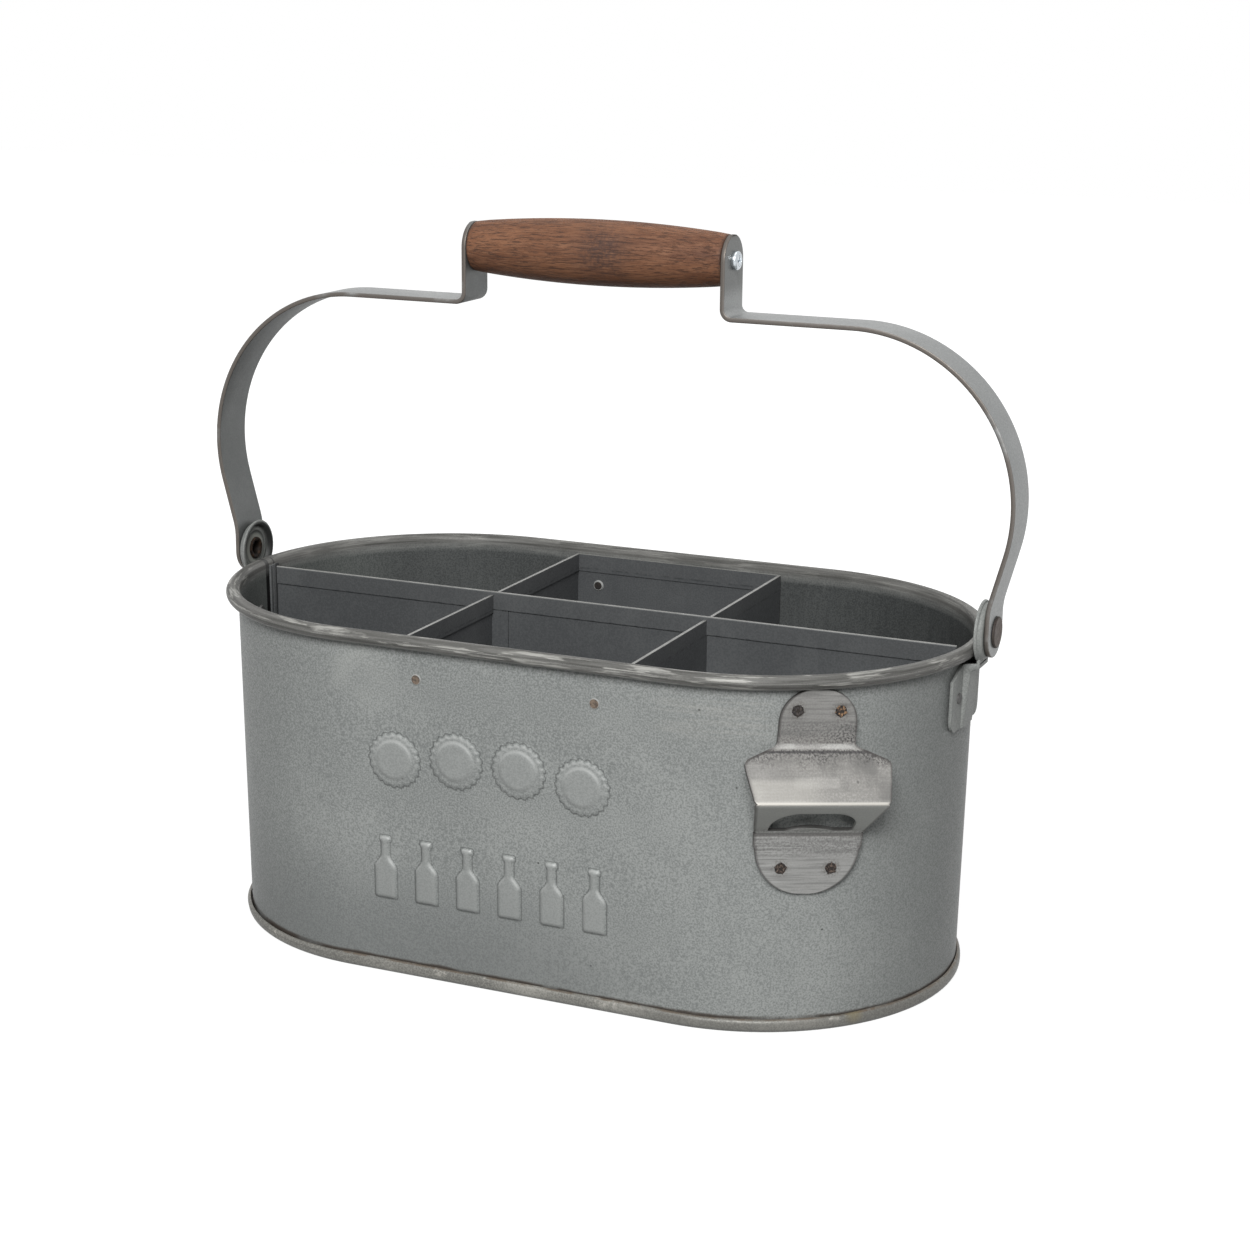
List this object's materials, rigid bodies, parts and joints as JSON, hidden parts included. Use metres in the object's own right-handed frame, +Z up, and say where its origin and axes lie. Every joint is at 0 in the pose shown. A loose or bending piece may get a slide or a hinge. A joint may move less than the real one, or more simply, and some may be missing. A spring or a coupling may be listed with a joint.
{
  "type": "bottle caddy",
  "caption": "Galvanised steel tub with round ends, divided into bottle cells, with a folding strap bail, a turned wooden grip and a riveted bottle opener on the end curve.",
  "frame": {"origin": "on the resting plane, under the middle of the tub", "axes": "+X along the tub's length towards the end that carries the opener, -Y the front with the relief, +Z up"},
  "size_m": [0.3702, 0.2011, 0.3118],
  "materials": {
    "galvanised": "weathered galvanised steel sheet, matt grey with fine mottling",
    "pan_steel": "weathered galvanised steel, brushed along the bead",
    "divider_steel": "dull galvanised steel sheet",
    "strap_steel": "smooth dull zinc-grey steel strap",
    "opener_steel": "brushed stamped steel with dark pitting at the bends",
    "rivet_steel": "browned steel, lightly rusted",
    "zinc_screw": "bright zinc plating",
    "wood": "reddish brown open-grained hardwood, dull oil"
  },
  "bodies": {
    "caddy": {"tub_shell": "galvanised", "rim_wire": "galvanised", "base_pan": "pan_steel", "long_divider": "divider_steel", "front_cell_frame": "divider_steel", "rear_cell_frame": "divider_steel", "front_cell_rivets": "rivet_steel", "rear_cell_rivets": "rivet_steel", "left_ear_bracket": "strap_steel", "right_ear_bracket": "strap_steel", "left_ear_rivets": "rivet_steel", "right_ear_rivets": "rivet_steel", "left_pivot_rivet": "rivet_steel", "right_pivot_rivet": "rivet_steel", "bottle_opener": "opener_steel", "opener_rivets": "rivet_steel"},
    "bail": {"left_strap": "strap_steel", "right_strap": "strap_steel", "wood_grip": "wood", "left_grip_screw": "zinc_screw", "right_grip_screw": "zinc_screw"}
  },
  "joints": [
    {"name": "bail_swing", "type": "hinge", "parent": "caddy", "child": "bail", "pos_m": [0, 0, 0.1544], "axis": [1, 0, 0], "range_deg": [-125, 125]}
  ]
}
